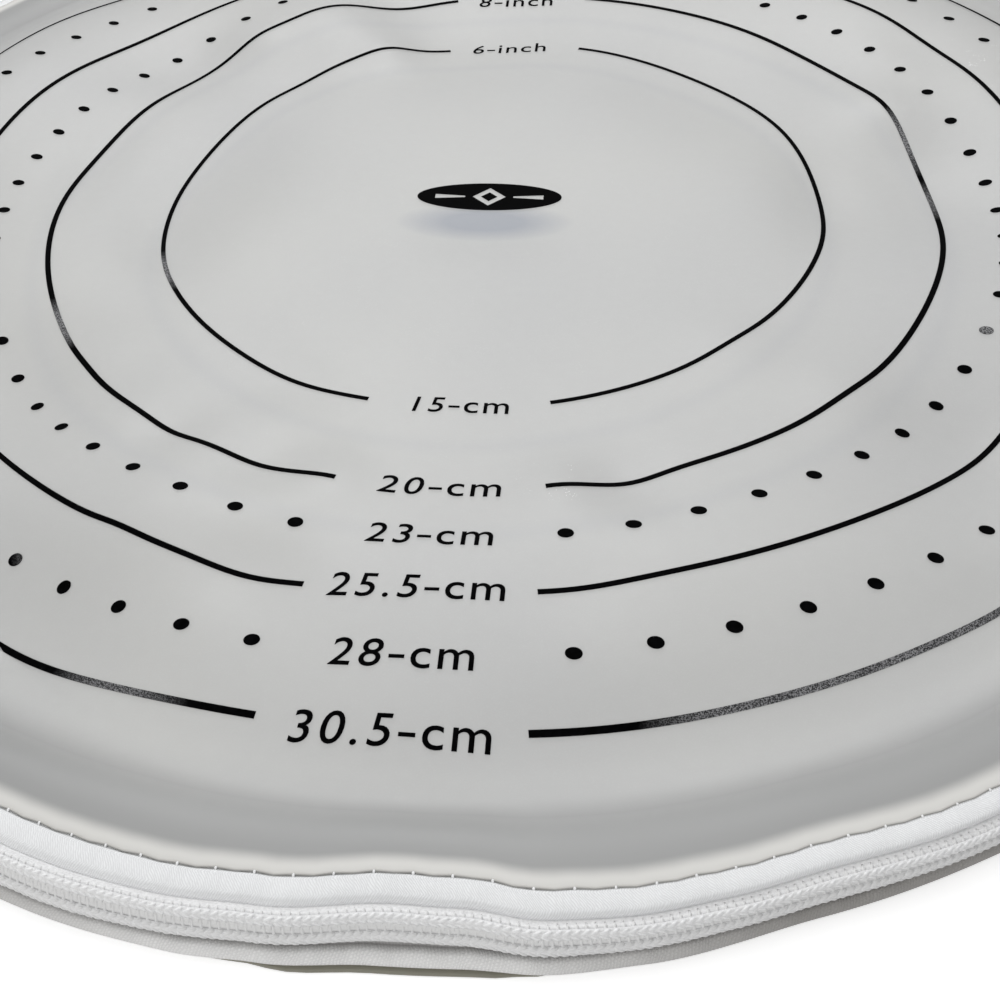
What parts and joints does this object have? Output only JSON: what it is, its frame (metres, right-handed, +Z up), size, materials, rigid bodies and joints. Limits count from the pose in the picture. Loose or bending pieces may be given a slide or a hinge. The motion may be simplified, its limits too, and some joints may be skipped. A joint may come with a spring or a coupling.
{
  "type": "dough rolling bag",
  "caption": "Flat round bag of two clear films with a coil zipper round its rim and a cloth hinge at the back; dough is rolled out inside it to a printed ring.",
  "frame": {"origin": "on the surface the bag lies on, under the middle of the bag", "axes": "+Z up out of the printed film, -Y towards the front labels, +Y towards the cloth hinge"},
  "size_m": [0.3784, 0.3784, 0.0146],
  "materials": {
    "film": "frosted clear film, satin",
    "tape": "woven twill zipper tape",
    "binding": "plain woven binding cloth",
    "coil": "nylon coil with chain stitching",
    "metal": "coated die-cast zinc"
  },
  "bodies": {
    "base": {"bottom_film": "film", "lower_zipper_tape": "tape", "lower_coil": "coil", "closed_end_tape": "tape", "closed_end_coil": "coil", "open_end_tape": "tape", "open_end_coil": "coil", "back_binding": "binding", "closed_end_tab": "binding", "open_end_tab": "binding", "upper_top_stop": "metal", "lower_top_stop": "metal", "bottom_stop": "metal"},
    "top_flap": {"top_film": "film", "upper_zipper_tape": "tape", "upper_coil": "coil"},
    "slider": {"slider_body": "metal"},
    "tab": {"pull_tab": "metal"}
  },
  "joints": [
    {"name": "flap_opening", "type": "hinge", "parent": "base", "child": "top_flap", "pos_m": [0, 0.186, 0.00575], "axis": [-1, 0, 0], "range_deg": [0, 170], "deforming": ["back_binding"]},
    {"name": "slider_travel", "type": "hinge", "parent": "base", "child": "slider", "pos_m": [0, 0, 0], "axis": [0, 0, 1], "range_deg": [0, 327], "deforming": ["upper_coil", "lower_coil", "closed_end_coil", "open_end_coil"]},
    {"name": "tab_swing", "type": "hinge", "parent": "slider", "child": "tab", "pos_m": [-0.05327, 0.17998, 0.0085], "axis": [0.1419, -0.4794, 0.866], "range_deg": [0, 180]}
  ]
}
